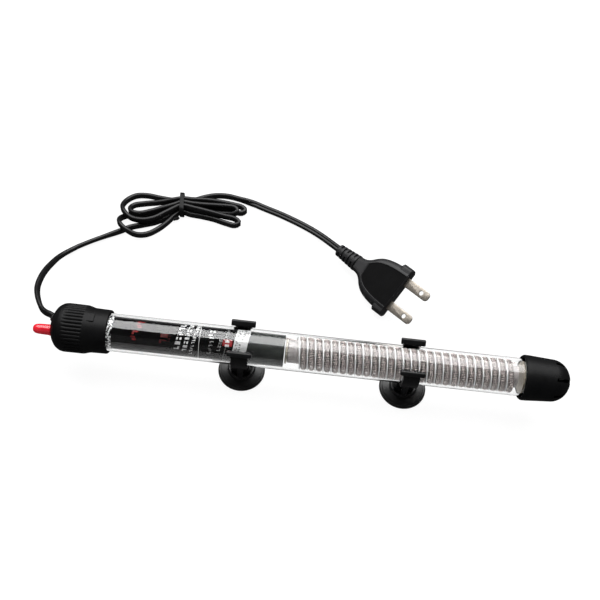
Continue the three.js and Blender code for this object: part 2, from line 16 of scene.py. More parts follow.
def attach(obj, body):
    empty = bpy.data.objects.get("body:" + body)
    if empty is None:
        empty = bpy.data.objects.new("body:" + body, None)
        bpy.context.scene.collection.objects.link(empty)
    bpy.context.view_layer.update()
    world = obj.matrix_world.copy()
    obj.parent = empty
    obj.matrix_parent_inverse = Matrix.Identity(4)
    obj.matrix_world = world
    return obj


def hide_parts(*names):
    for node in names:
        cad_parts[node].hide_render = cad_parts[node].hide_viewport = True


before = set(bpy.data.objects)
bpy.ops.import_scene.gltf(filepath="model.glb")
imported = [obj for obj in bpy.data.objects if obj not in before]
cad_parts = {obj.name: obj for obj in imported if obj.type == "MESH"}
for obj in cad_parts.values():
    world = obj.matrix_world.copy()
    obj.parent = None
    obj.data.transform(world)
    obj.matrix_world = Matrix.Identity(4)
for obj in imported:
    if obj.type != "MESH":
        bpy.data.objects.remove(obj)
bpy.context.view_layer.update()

MM = 0.001
AXIS = Vector((0, 0, 31.5))  # a point on the tube's axis
ORIGIN = Vector((0, 0, 0))
ROUND = 128  # flat sides of a body that is turned on a lathe


# ---- Camera ----
def make_camera():
    """Looks down at the object from the front, a little rolled."""
    data = bpy.data.cameras.new("camera")
    data.sensor_width = 36
    data.lens = 49.32
    camera = bpy.data.objects.new("camera", data)
    bpy.context.scene.collection.objects.link(camera)
    elevation, roll = math.radians(58.157), math.radians(6.275)
    forward = Vector((0, math.cos(elevation), -math.sin(elevation)))
    level_up = Vector((0, math.sin(elevation), math.cos(elevation)))
    across = Vector((1, 0, 0))
    right = across * math.cos(roll) + level_up * math.sin(roll)
    up = level_up * math.cos(roll) - across * math.sin(roll)
    turn = Matrix((right, up, -forward)).transposed()
    place = Vector((-4.635, -235.26, 470.57)) * MM
    camera.matrix_world = Matrix.Translation(place) @ turn.to_4x4()
    bpy.context.scene.camera = camera


make_camera()


# ---- Materials ----
def noise_of(tree, size, stretch=(1, 1, 1), detail=3.0):
    """A noise pattern whose blobs are about size millimetres across."""
    coords = tree.nodes.new("ShaderNodeTexCoord")
    mapping = tree.nodes.new("ShaderNodeMapping")
    mapping.inputs["Scale"].default_value = stretch
    texture = tree.nodes.new("ShaderNodeTexNoise")
    texture.inputs["Scale"].default_value = 1 / (size * MM)
    texture.inputs["Detail"].default_value = detail
    tree.links.new(coords.outputs["Object"], mapping.inputs["Vector"])
    tree.links.new(mapping.outputs["Vector"], texture.inputs["Vector"])
    return texture.outputs["Fac"]


def surface(name, dark, light, roughness, spread=0.06, patch=7.0, grain=0.35, depth=0.01,
            stretch=(1, 1, 1), **sockets):
    """A finish whose tone drifts from dark to light, whose gloss varies, and which has a fine grain."""
    material = bpy.data.materials.new(name)
    material.use_nodes = True
    tree = material.node_tree
    shader = tree.nodes["Principled BSDF"]
    ramp = tree.nodes.new("ShaderNodeValToRGB")
    ramp.color_ramp.elements[0].position = 0.3
    ramp.color_ramp.elements[0].color = (*dark, 1)
    ramp.color_ramp.elements[1].position = 0.7
    ramp.color_ramp.elements[1].color = (*light, 1)
    tree.links.new(noise_of(tree, patch, stretch), ramp.inputs["Fac"])
    tree.links.new(ramp.outputs["Color"], shader.inputs["Base Color"])
    gloss = tree.nodes.new("ShaderNodeMapRange")
    gloss.inputs["To Min"].default_value = max(0.0, roughness - spread)
    gloss.inputs["To Max"].default_value = roughness + spread
    tree.links.new(noise_of(tree, patch / 3, stretch), gloss.inputs["Value"])
    tree.links.new(gloss.outputs["Result"], shader.inputs["Roughness"])
    if depth:
        bump = tree.nodes.new("ShaderNodeBump")
        bump.inputs["Strength"].default_value = 1.0
        bump.inputs["Distance"].default_value = depth * MM
        tree.links.new(noise_of(tree, grain, stretch, 2.0), bump.inputs["Height"])
        tree.links.new(bump.outputs["Normal"], shader.inputs["Normal"])
    for socket, value in sockets.items():
        shader.inputs[socket.replace("_", " ")].default_value = value
    return material


def grey(tone):
    return (tone, tone, tone)


def black(name, tone, roughness, specular=0.28, **options):
    """A black plastic or rubber, a little cool in tone."""
    dark = (tone * 0.75, tone * 0.75, tone * 0.8)
    light = (tone * 1.25, tone * 1.25, tone * 1.35)
    return surface(name, dark, light, roughness, Specular_IOR_Level=specular, **options)


CAP_BLACK = black("cap_black", 0.0030, 0.46, 0.11)
GUARD_BLACK = black("guard_black", 0.0036, 0.44, 0.09, depth=0.014)
CLIP_BLACK = black("clip_black", 0.0050, 0.36, 0.30)
CUP_BLACK = black("cup_black", 0.0080, 0.40, 0.42, depth=0.012)
CORD_BLACK = black("cord_black", 0.0040, 0.36, 0.26, depth=0.012)
PLUG_BLACK = black("plug_black", 0.0100, 0.50, 0.26, depth=0.012)
PANEL_BLACK = black("panel_black", 0.0018, 0.60, 0.06, depth=0.02)
TIE_BLACK = black("tie_black", 0.0040, 0.45, 0.12)
SEAL_BLACK = black("seal_black", 0.0150, 0.60)
KNOB_RED = surface(
    "knob_red", (0.66, 0.007, 0.024), (0.84, 0.018, 0.036), 0.2, grain=0.5, depth=0.004,
    Transmission_Weight=0.3, IOR=1.49, Coat_Weight=0.3)
GLASS = surface(
    "clear_glass", (0.985, 0.992, 0.99), (1, 1, 1), 0.0, spread=0.0, patch=30, depth=0.0,
    Transmission_Weight=1.0, IOR=1.37)
FILM_BLACK = surface(
    "film_black", (0.0012, 0.0012, 0.0016), (0.0022, 0.0022, 0.0026), 0.16, spread=0.03, depth=0.003,
    Specular_IOR_Level=0.12)
FILM_GREEN = surface(
    "film_green", (0.034, 0.037, 0.035), (0.046, 0.050, 0.047), 0.22, spread=0.04, depth=0.004,
    Specular_IOR_Level=0.15)
INK_WHITE = surface("ink_white", grey(0.55), grey(0.85), 0.4, patch=0.8, depth=0.0)
INK_RED = surface("ink_red", (0.16, 0.004, 0.006), (0.40, 0.010, 0.014), 0.4, patch=0.9, depth=0.0)
INK_FAINT = surface("ink_faint_red", (0.05, 0.002, 0.003), (0.14, 0.004, 0.006), 0.4, patch=0.8, depth=0.0)
INK_DULL = surface("ink_dull_white", grey(0.14), grey(0.42), 0.4, patch=0.6, depth=0.0)
INK_GREY = surface("ink_grey", grey(0.010), grey(0.09), 0.5, patch=0.5, depth=0.0)
PAPER = surface("paper_white", grey(0.62), grey(0.70), 0.45, patch=4, grain=0.25, depth=0.004)
CERAMIC = surface("ceramic_grey", (0.30, 0.275, 0.27), (0.40, 0.375, 0.37), 0.6, patch=3, depth=0.015)
# The fins' near white is a painted highlight: the former is one ceramic, whose own tone is the greyer
# ceramic_grey of the core.
FIN_PAINTED_HIGHLIGHT = surface("fin_painted_highlight", grey(0.92), grey(0.98), 0.5, patch=3, depth=0.01)
COIL_GREY = surface(
    "coil_metal", (0.38, 0.32, 0.31), (0.66, 0.59, 0.57), 0.28, patch=0.9, depth=0.004, Metallic=0.7)
STEEL = surface("plated_steel", grey(0.42), grey(0.55), 0.28, patch=5, Metallic=1.0)
NICKEL = surface(
    "blade_nickel", (0.19, 0.17, 0.145), (0.30, 0.27, 0.235), 0.42, patch=1.8, grain=0.3, depth=0.006,
    Metallic=0.9)
BRASS = surface("screw_brass", (0.48, 0.33, 0.13), (0.60, 0.43, 0.20), 0.3, patch=4, Metallic=1.0)
COPPER = surface("spring_copper", (0.42, 0.19, 0.09), (0.55, 0.27, 0.14), 0.35, patch=5, Metallic=1.0)
MICA = surface("mica_plate", (0.36, 0.31, 0.24), (0.52, 0.47, 0.39), 0.4, patch=2.5, stretch=(1, 1, 3))
BOARD = surface("frame_board", (0.11, 0.05, 0.022), (0.18, 0.09, 0.045), 0.55, stretch=(0.3, 2, 1))
SLEEVING = surface("wire_sleeving", (0.55, 0.52, 0.42), (0.68, 0.65, 0.55), 0.6, patch=1.2, grain=0.3)
AMBER = surface(
    "lamp_amber", (0.70, 0.20, 0.05), (0.85, 0.32, 0.10), 0.08, depth=0.0, Transmission_Weight=0.7)
FIBRE = surface("glass_fibre", (0.68, 0.67, 0.64), (0.82, 0.81, 0.79), 0.9, patch=1.5, grain=0.5, depth=0.1)


def speckled_with_painted_glints(name, patch):
    """Dark grains and bright grains, sharply parted; the bright grains are painted glints."""
    material = surface(name, grey(0.010), grey(0.90), 0.18, patch=patch, grain=0.9, depth=0.12)
    ramp = next(n for n in material.node_tree.nodes if n.bl_idname == "ShaderNodeValToRGB")
    ramp.color_ramp.elements[0].position = 0.48
    ramp.color_ramp.elements[1].position = 0.56
    return material


# The bead's bright grains are painted glints, not a colour of its own.
BEAD_PAINTED_GLINTS = speckled_with_painted_glints("bead_painted_glints", 1.1)

CAD_FINISHES = {
    SEAL_BLACK: ["cap_gasket", "head_seal", "cord_gland", "spindle_oring"],
    STEEL: ["knob_spindle", "screw_bracket", "snap_magnet", "frame_rivet_1", "frame_rivet_2",
            "frame_rivet_3"],
    BRASS: ["adjuster_screw", "adjuster_slider"],
    COPPER: ["contact_arm", "bimetal_strip"],
    MICA: ["arm_post", "bimetal_post", "upper_mica_disc", "lower_mica_disc"],
    BOARD: ["thermostat_frame"],
    SLEEVING: ["live_wire", "neutral_wire"],
    AMBER: ["neon_lamp"],
    CERAMIC: ["lamp_resistor"],
    COIL_GREY: ["element_lead", "return_lead"],
    FIBRE: ["fibre_pad"],
}


def finish_cad_nodes():
    """Gives the pieces that stay as the CAD made them their own finishes."""
    for material, names in CAD_FINISHES.items():
        for name in names:
            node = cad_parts[name]
            node.data.materials.clear()
            node.data.materials.append(material)


# ---- Mesh helpers ----
def piece(name, bm, materials, sharp=35):
    """An object from a bmesh in millimetres, smooth apart from its sharp edges."""
    bmesh.ops.remove_doubles(bm, verts=bm.verts, dist=1e-4)
    bmesh.ops.recalc_face_normals(bm, faces=bm.faces)
    bm.transform(Matrix.Scale(MM, 4))
    mesh = bpy.data.meshes.new(name)
    bm.to_mesh(mesh)
    bm.free()
    for material in materials:
        mesh.materials.append(material)
    mesh.shade_smooth()
    mesh.set_sharp_from_angle(angle=math.radians(sharp))
    obj = bpy.data.objects.new(name, mesh)
    bpy.context.scene.collection.objects.link(obj)
    return obj


def stand_for(obj, body, slot, *nodes):
    """obj rides on a body and is shown in place of CAD nodes. slot is not used."""
    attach(obj, body)
    if nodes:
        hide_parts(*nodes)
    return obj


def combine(first, others, operation):
    """Joins closed meshes to the first object, or cuts them from it."""
    for other in others:
        modifier = first.modifiers.new("combine", "BOOLEAN")
        modifier.operation = operation
        modifier.solver = "EXACT"
        modifier.object = other
    graph = bpy.context.evaluated_depsgraph_get()
    made = bpy.data.meshes.new_from_object(first.evaluated_get(graph))
    first.modifiers.clear()
    first.data = made
    made.shade_smooth()
    made.set_sharp_from_angle(angle=math.radians(35))
    for other in others:
        bpy.data.objects.remove(other)
    return first


def softened(points, radius, steps=4, closed=False):
    """The same outline with its corners rounded."""
    made = []
    for i, point in enumerate(points):
        corner = Vector(point)
        if not closed and i in (0, len(points) - 1):
            made.append(corner)
            continue
        before = Vector(points[i - 1]) - corner
        after = Vector(points[(i + 1) % len(points)]) - corner
        reach = min(radius, 0.45 * before.length, 0.45 * after.length)
        start = corner + before.normalized() * reach
        end = corner + after.normalized() * reach
        for k in range(steps + 1):
            t = k / steps
            made.append(start.lerp(corner, t).lerp(corner.lerp(end, t), t))
    return made


def grid(rows, closed_rows=False, closed_columns=True):
    """A bmesh skin over rows of points."""
    bm = bmesh.new()
    verts = [[bm.verts.new(p) for p in row] for row in rows]
    row_count = len(rows) if closed_rows else len(rows) - 1
    width = len(rows[0])
    column_count = width if closed_columns else width - 1
    for i in range(row_count):
        upper, lower = verts[i], verts[(i + 1) % len(rows)]
        for j in range(column_count):
            k = (j + 1) % width
            bm.faces.new((upper[j], upper[k], lower[k], lower[j]))
    return bm


def capped(rows):
    """A skin over rows of points, closed at both ends."""
    bm = grid(rows)
    bm.verts.ensure_lookup_table()
    width = len(rows[0])
    for row in (0, len(rows) - 1):
        start = row * width
        bm.faces.new([bm.verts[start + j] for j in range(width)])
    return bm


def placed(bm, turn, shift=ORIGIN):
    """The same bmesh turned about the origin, then shifted."""
    bmesh.ops.rotate(bm, verts=bm.verts, matrix=turn)
    bmesh.ops.translate(bm, verts=bm.verts, vec=shift)
    return bm


def lathe(profile, segments=ROUND, centre=AXIS, upright=False, radius_at=None):
    """A body turned about X, or about Z if upright, from (along, radius) pairs."""
    rows = []
    for along, radius in profile:
        row = []
        for j in range(segments):
            angle = 2 * math.pi * j / segments
            reach = radius_at(along, radius, angle) if radius_at else radius
            u, v = reach * math.cos(angle), reach * math.sin(angle)
            row.append(centre + Vector((u, v, along) if upright else (along, u, v)))
        rows.append(row)
    closed = tuple(profile[0]) == tuple(profile[-1])
    return grid(rows[:-1] if closed else rows, closed_rows=closed)


def prism(outline, low, high, axes="YZX", bevel=0.3, segments=2):
    """A closed outline pushed from low to high along the last axis, with rounded edges."""
    order = ["XYZ".index(letter) for letter in axes]
    bm = bmesh.new()
    rings = []
    for along in (low, high):
        ring = []
        for u, v in outline:
            spot = [0.0, 0.0, 0.0]
            spot[order[0]], spot[order[1]], spot[order[2]] = u, v, along
            ring.append(bm.verts.new(spot))
        rings.append(ring)
        bm.faces.new(ring)
    count = len(outline)
    for i in range(count):
        j = (i + 1) % count
        bm.faces.new((rings[0][i], rings[0][j], rings[1][j], rings[1][i]))
    bmesh.ops.recalc_face_normals(bm, faces=bm.faces)
    if bevel:
        edges = [e for e in bm.edges if e.calc_face_angle(0) > math.radians(30)]
        bmesh.ops.bevel(bm, geom=edges, offset=bevel, segments=segments, profile=0.5,
                        affect="EDGES", clamp_overlap=True)
    return bm


def box_outline(low, high):
    (u0, v0), (u1, v1) = low, high
    return [(u0, v0), (u1, v0), (u1, v1), (u0, v1)]


def arc(radius, start, end, steps):
    """Points on a circle, with the angles in degrees."""
    angles = [math.radians(start + (end - start) * k / steps) for k in range(steps + 1)]
    return [(radius * math.cos(a), radius * math.sin(a)) for a in angles]


def merged(first, *others):
    """One bmesh that holds several."""
    for other in others:
        mesh = bpy.data.meshes.new("part")
        other.to_mesh(mesh)
        other.free()
        first.from_mesh(mesh)
        bpy.data.meshes.remove(mesh)
    return first


# ---- Mains lead ----
# Each point is x, y and z. A lean is that of the cord's wide side from level, in degrees, and
# each point of the lead has its own.
ON_EDGE = -90
LEAD = [
    (-152.4, 5.9, 32.5, -100), (-155, 7.4, 32, -100), (-158, 8.9, 30.9, -98),
    (-161.4, 11.7, 29.7, -94), (-164.9, 16.9, 28.4, -88), (-168.2, 23.6, 26.4, -82),
    (-170.4, 30.2, 24, -80), (-171.2, 37, 21.8, -80), (-171.5, 47.2, 16.9, -85),
    (-170.6, 57.8, 10.9, -95), (-168.5, 66.8, 6.2, -105), (-162.2, 76.7, 2.5, -115),
    (-153.4, 83.4, 2.5, -120), (-145.4, 88.6, 2.5, -115),
]
HANK = [
    (-134.5, 95.3, 2.5), (-127.9, 99.6, 2.5), (-119.4, 103.0, 2.5), (-111, 106.6, 2.5),
    (-104, 112.2, 2.5), (-99.4, 117.9, 2.8), (-95, 120.3, 3.4), (-88, 120.3, 2.6),
    (-78, 120.4, 2.5), (-70, 120.0, 2.6), (-63.5, 119.2, 3.6), (-58.4, 118.4, 5.4),
    (-55.4, 120.2, 7.0), (-57.4, 122.7, 7.4), (-63, 123.2, 7.4), (-70, 122.8, 7.4),
    (-79, 122.3, 7.4), (-88, 121.9, 7.8), (-95, 121.9, 8.2), (-99.8, 119.6, 7.5),
    (-108.4, 115.2, 7.4), (-116, 111.2, 7.4), (-123, 108.8, 7.2), (-128.6, 109.9, 6.6),
    (-130.6, 113.6, 5.4), (-128.4, 117.8, 4.2), (-121.5, 120.6, 3.6), (-110.8, 122.0, 5.2),
    (-100.9, 124.0, 7.2),
    (-95, 125.0, 8.2), (-88.4, 125.9, 7.2), (-78.6, 127.8, 5.8), (-68.7, 128.8, 4.2),
    (-59.3, 128.6, 3.0), (-53.1, 127.6, 2.6), (-50.4, 125.0, 2.6), (-52.6, 122.6, 2.5),
    (-58.8, 122.8, 2.5), (-68, 123.6, 2.5), (-78, 123.9, 2.5), (-88, 123.6, 2.6),
    (-95, 123.4, 3.4), (-100.3, 121.0, 2.8), (-110, 115.2, 2.5), (-120.7, 110.4, 2.5),
    (-129.6, 110.0, 2.5), (-134.6, 107.7, 2.7), (-136.2, 103.3, 5.0), (-134.2, 98.1, 7.2),
    (-129.7, 94.5, 6.8), (-122.6, 92.8, 4.2), (-115.5, 95.1, 2.7), (-108.9, 100.4, 2.5),
    (-103.6, 107.0, 2.5), (-99.0, 114.0, 2.8), (-95, 117.2, 3.4), (-88.5, 116.4, 2.6),
    (-80.8, 115.8, 2.5), (-71.3, 114.4, 2.5), (-62.4, 112.0, 2.5), (-56.2, 111.0, 2.6),
    (-53.2, 113.0, 3.2), (-56.4, 115.3, 4.2), (-64.6, 115.9, 5.4), (-74.8, 117.0, 6.7),
    (-85.7, 118.2, 7.6), (-95, 118.8, 8.2), (-99.4, 116.4, 7.6), (-105.8, 111.2, 7.4),
    (-112.5, 105.8, 7.4), (-119.6, 103.3, 7.4), (-127.5, 104.2, 7.3), (-133.5, 109.0, 7.3),
    (-136.3, 115.2, 5.4), (-134.7, 122.3, 3.2), (-129.5, 127.4, 2.5), (-121.9, 128.8, 2.5),
    (-112.0, 127.8, 2.5), (-103.7, 126.9, 2.8), (-95, 126.6, 3.4), (-88, 129.0, 2.7),
    (-80.2, 133.1, 2.5), (-72.8, 135.6, 2.5), (-64.3, 136.2, 2.5), (-54.6, 134.6, 2.4),
]
TAIL = [
    (-44.2, 132.1, 2.2), (-40, 130.6, 2.1), (-34, 128.5, 2), (-25.5, 125.5, 2),
    (-12.2, 119.9, 2), (-2, 114.5, 2.4), (5.4, 109, 3.8), (11.5, 103.2, 5.8),
    (16.4, 98.2, 7.7), (18, 96.7, 8.2),
]
TAIL_LEAN = -28
CORD_STEP = 1.5
CORE_HALF = 1.5  # half the thickness of each of the cord's two cores
CORE_OFFSET = 0.95  # from the cord's middle to the middle of a core
CORD_LIFT = 0.03  # the least gap between the cord and the floor


def smooth_path(points, step):
    """Points every step along a smooth curve through the given ones, by chord-length splines."""
    known = np.array(points, float)
    known = np.vstack([2 * known[0] - known[1], known, 2 * known[-1] - known[-2]])
    fine = []
    for p0, p1, p2, p3 in zip(known, known[1:], known[2:], known[3:]):
        gaps = [np.linalg.norm((b - a)[:3]) ** 0.5 for a, b in ((p0, p1), (p1, p2), (p2, p3))]
        t0, t1 = 0.0, gaps[0]
        t2 = t1 + gaps[1]
        t3 = t2 + gaps[2]
        for t in np.linspace(t1, t2, 24, endpoint=False):
            a1 = (t1 - t) / (t1 - t0) * p0 + (t - t0) / (t1 - t0) * p1
            a2 = (t2 - t) / (t2 - t1) * p1 + (t - t1) / (t2 - t1) * p2
            a3 = (t3 - t) / (t3 - t2) * p2 + (t - t2) / (t3 - t2) * p3
            b1 = (t2 - t) / (t2 - t0) * a1 + (t - t0) / (t2 - t0) * a2
            b2 = (t3 - t) / (t3 - t1) * a2 + (t - t1) / (t3 - t1) * a3
            fine.append((t2 - t) / (t2 - t1) * b1 + (t - t1) / (t2 - t1) * b2)
    fine.append(known[-2])
    fine = np.array(fine)
    walked = np.concatenate([[0], np.cumsum(np.linalg.norm(np.diff(fine[:, :3], axis=0), axis=1))])
    even = np.linspace(0, walked[-1], int(round(walked[-1] / step)) + 1)
    return np.stack([np.interp(even, walked, column) for column in fine.T], axis=1)


def cord_section():
    """A flat twin cord's outline: two round cores with a groove between them."""
    meet = math.degrees(math.acos(CORE_OFFSET / CORE_HALF))
    far = [(u + CORE_OFFSET, v) for u, v in arc(CORE_HALF, meet - 180 + 4, 180 - meet - 4, 12)]
    return far + [(-u, -v) for u, v in far]


def make_cord():
    """The cord swept along its route, and the middles of its slices."""
    route = LEAD + [(*p, ON_EDGE) for p in HANK] + [(*p, TAIL_LEAN) for p in TAIL]
    path = smooth_path(route, CORD_STEP)
    centres = path[:, :3]
    leans = np.radians(path[:, 3])
    tangents = np.gradient(centres, axis=0)
    section = cord_section()
    rows = []
    for centre, lean, tangent in zip(centres, leans, tangents):
        along = Vector(tangent).normalized()
        level = along.cross(Vector((0, 0, 1))).normalized()
        upward = level.cross(along)
        wide = level * math.cos(lean) + upward * math.sin(lean)
        thin = wide.cross(along)
        lowest = CORE_HALF + CORE_OFFSET * abs(math.sin(lean)) + CORD_LIFT
        centre[2] = max(centre[2], lowest)
        rows.append([Vector(centre) + wide * u + thin * v for u, v in section])
    return piece("mains_lead", capped(rows), [CORD_BLACK], sharp=50), centres


cord, cord_centres = make_cord()
stand_for(cord, "root", "cord_jacket", "cord_lead", "cord_hank", "cord_tail")


# ---- Glass tube ----
def make_glass():
    """A tube with a round lip at its open end and a half sphere at the other."""
    mouth_x, dome_x, outer, inner = -131.6, 141, 11.5, 10.3
    half_wall = (outer - inner) / 2
    quarter = [k * math.pi / 48 for k in range(25)]
    outside = [(dome_x + outer * math.sin(a), outer * math.cos(a)) for a in quarter]
    inside = [(dome_x + inner * math.sin(a), inner * math.cos(a)) for a in reversed(quarter)]
    outside[-1] = (outside[-1][0], 0)
    inside[0] = (inside[0][0], 0)
    middle = (outer + inner) / 2
    lip = [(mouth_x + (1 - math.sin(a)) * half_wall, middle + half_wall * math.cos(a))
           for a in (k * math.pi / 8 for k in range(9))]
    profile = inside + lip[::-1] + outside
    glass = piece("glass_envelope", lathe(profile, 160), [GLASS], sharp=60)
    stand_for(glass, "root", "clear_glass", "glass_tube")


# ---- Printed sleeve and sticker ----
SLEEVE_RADIUS = 9.75
FILM_START, FILM_EDGE, FILM_END = -122.4, -33.6, -10.5


def make_sleeve():
    """Black film with a green band at its end towards the guard."""
    thickness = 0.35
    stations = [FILM_START, FILM_EDGE, FILM_END]
    profile = [(x, SLEEVE_RADIUS) for x in stations]
    profile += [(x, SLEEVE_RADIUS - thickness) for x in reversed(stations)]
    bm = lathe(profile + profile[:1])
    for face in bm.faces:
        face.material_index = 1 if face.calc_center_median().x > FILM_EDGE else 0
    sleeve = piece("printed_sleeve", bm, [FILM_BLACK, FILM_GREEN])
    stand_for(sleeve, "root", "label_film", "label_sleeve")


UNSHIFTED = math.radians(110)  # the angle at which a leaning patch keeps its place along X
PATCH_STEP = 4  # degrees


def curved_patch(bm, x_range, angle_range, radius, material_index, lean=0.0, thickness=0.03):
    """Adds a thin closed patch that lies round the tube. lean shifts it along X as it goes round."""
    (x0, x1), (a0, a1) = x_range, angle_range
    steps = max(1, int(abs(a1 - a0) / PATCH_STEP))
    rings = []
    for k in range(steps + 1):
        degrees = a0 + (a1 - a0) * k / steps
        angle = math.radians(degrees)
        shift = lean * radius * (UNSHIFTED - angle)
        corners = [(x0, radius), (x1, radius), (x1, radius + thickness), (x0, radius + thickness)]
        rings.append([
            bm.verts.new(AXIS + Vector((x + shift, r * math.cos(angle), r * math.sin(angle))))
            for x, r in corners])
    faces = [bm.faces.new(rings[0]), bm.faces.new(rings[-1])]
    for near, far in zip(rings, rings[1:]):
        for i in range(4):
            j = (i + 1) % 4
            faces.append(bm.faces.new((near[i], near[j], far[j], far[i])))
    for face in faces:
        face.material_index = material_index


def mark_shapes(wide):
    """Ways to fill a mark with bars: each bar's share of the height, and its span of angle."""
    stroke = 0.36 * wide
    first, last, whole = (0, stroke), (wide - stroke, wide), (0, wide)
    return (
        [((0, 1), whole)],
        [((0, 1), first), ((0, 0.3), (stroke, wide))],
        [((0, 0.32), whole), ((0.62, 1), whole)],
        [((0, 1), last), ((0.7, 1), whole)],
        [((0, 0.7), first), ((0.3, 1), last)])


def marks_row(bm, rng, x, tall, angle_range, radius, material_index, lean=0.0):
    """A row of small blocks round the tube, whole or parted, as fine print looks from far off."""
    angle, end = angle_range
    while angle < end:
        wide = math.degrees(tall * rng.uniform(0.45, 0.72) / radius)
        for (low, high), (near, far) in rng.choice(mark_shapes(wide)):
            spot = (x + tall * low, x + tall * high)
            curved_patch(bm, spot, (angle + near, angle + far), radius, material_index, lean)
        angle += wide + math.degrees(tall * rng.uniform(0.28, 0.46) / radius)


PRINT_LEAN = 0.18
PRINT_INKS = [INK_WHITE, INK_RED, INK_FAINT, INK_DULL]
WHITE, RED, FAINT, DULL = range(len(PRINT_INKS))
# Each row's ink, place along the tube, height, and angles round the tube.
PRINT_ROWS = [
    (WHITE, -74.9, 3.1, (36, 152)),
    (WHITE, -69.8, 2.5, (36, 160)),
    (WHITE, -65.4, 1.9, (36, 162)),
    (WHITE, -56.8, 3.4, (70, 100)),
    (RED, -101.3, 3.2, (104, 130)),
    (RED, -100.2, 3.4, (66, 92)),
    (FAINT, -84.3, 4.2, (104, 136)),
    (FAINT, -79.8, 1.4, (108, 130)),
    (DULL, -55.0, 2.3, (112, 162)),
    (DULL, -49.6, 1.9, (104, 142)),
    (DULL, -45.2, 0.7, (122, 164)),
    (DULL, -46.8, 1.5, (62, 90)),
]
STICKER_ROWS = [
    (-39.6, 2.2, (56, 86)),
    (-36.6, 1.7, (52, 98)),
    (-34.6, 1.5, (60, 90)),
    (-39.9, 1.6, (104, 152)),
    (-37.7, 1.2, (112, 148)),
]


def make_print():
    """Generic marks on the film: no letters, only rows of blocks, a panel and a ring."""
    rng = random.Random(11)
    radius = SLEEVE_RADIUS + 0.02
    bm = bmesh.new()
    for ink, x, tall, angles in PRINT_ROWS:
        marks_row(bm, rng, x, tall, angles, radius, ink, PRINT_LEAN)
    curved_patch(bm, (-61.5, -61.2), (0, 356), radius, WHITE)
    curved_patch(bm, (-47.4, -41.8), (100, 123), radius, RED)
    marks_row(bm, rng, -45.9, 2.4, (103, 120), radius + 0.05, WHITE)
    marks = piece("sleeve_marks", bm, PRINT_INKS)
    stand_for(marks, "root", "label_film")


def make_bead():
    """An uneven bead inside the glass, at the mouth of the cap, speckled dark and with painted glints."""
    def uneven(along, radius, angle):
        wave = math.sin(9 * angle) * 0.5 + math.sin(23 * angle + 1) * 0.5
        return radius + 0.1 * wave if radius > 9.9 else radius

    profile = softened([(-118, 9.8), (-118, 10.05), (-114.2, 10.05), (-113.8, 9.8)], 0.2)
    # The bead's bright speckles are painted glints.
    bead = piece("painted_glint_bead", lathe(profile + profile[:1], 200, radius_at=uneven), [BEAD_PAINTED_GLINTS])
    stand_for(bead, "root", "paper_label")


def make_sticker():
    """A white strip laid askew over the film, with generic marks."""
    rng = random.Random(5)
    lean = math.tan(math.radians(7))
    radius, thickness = SLEEVE_RADIUS + 0.18, 0.12
    bm = bmesh.new()
    curved_patch(bm, (-40.7, -32.6), (30, 165), radius, 0, lean, thickness)
    above = radius + thickness + 0.01
    for x, tall, angles in STICKER_ROWS:
        marks_row(bm, rng, x, tall, angles, above, 1, lean)
    sticker = piece("rating_sticker", bm, [PAPER, INK_GREY])
    stand_for(sticker, "root", "paper_label", "spec_sticker")


# ---- Ceramic former and heating coil ----
COIL_TURNS, COIL_PITCH, COIL_START, COIL_RADIUS = 27, 4.77, -0.6, 8.42


def helix(turns, start, radius):
    """A point that many turns from the start of a helix of the coil's pitch."""
    angle = 2 * math.pi * turns
    return Vector((start + COIL_PITCH * turns, radius * math.cos(angle), radius * math.sin(angle)))


def make_former():
    """A ceramic tube with one thin fin that winds between the coil's turns. The fin takes a whiter finish
    than the core of the same ceramic, a painted highlight on its edges.
    """
    core = lathe([(-8.2, 3.0), (-8.2, 6.7), (129.9, 6.7), (129.9, 3.0), (-8.2, 3.0)], 96)
    start = COIL_START - COIL_PITCH / 2
    root, tip, half, per_turn = 6.4, 9.9, 0.36, 60
    section = [(half + 0.06, root), (half, tip - 0.15), (half - 0.15, tip), (0.15 - half, tip),
               (-half, tip - 0.15), (-half - 0.06, root)]
    rows = []
    for k in range(COIL_TURNS * per_turn + 1):
        turns = k / per_turn
        rows.append([AXIS + helix(turns, start + shift, radius) for shift, radius in section])
    fin = capped(rows)
    # The fin's faces take the painted highlight finish, lighter than the core's ceramic.
    for face in fin.faces:
        face.material_index = 1
    former = piece("finned_former", merged(core, fin), [CERAMIC, FIN_PAINTED_HIGHLIGHT])
    stand_for(former, "root", "ceramic", "ceramic_core")


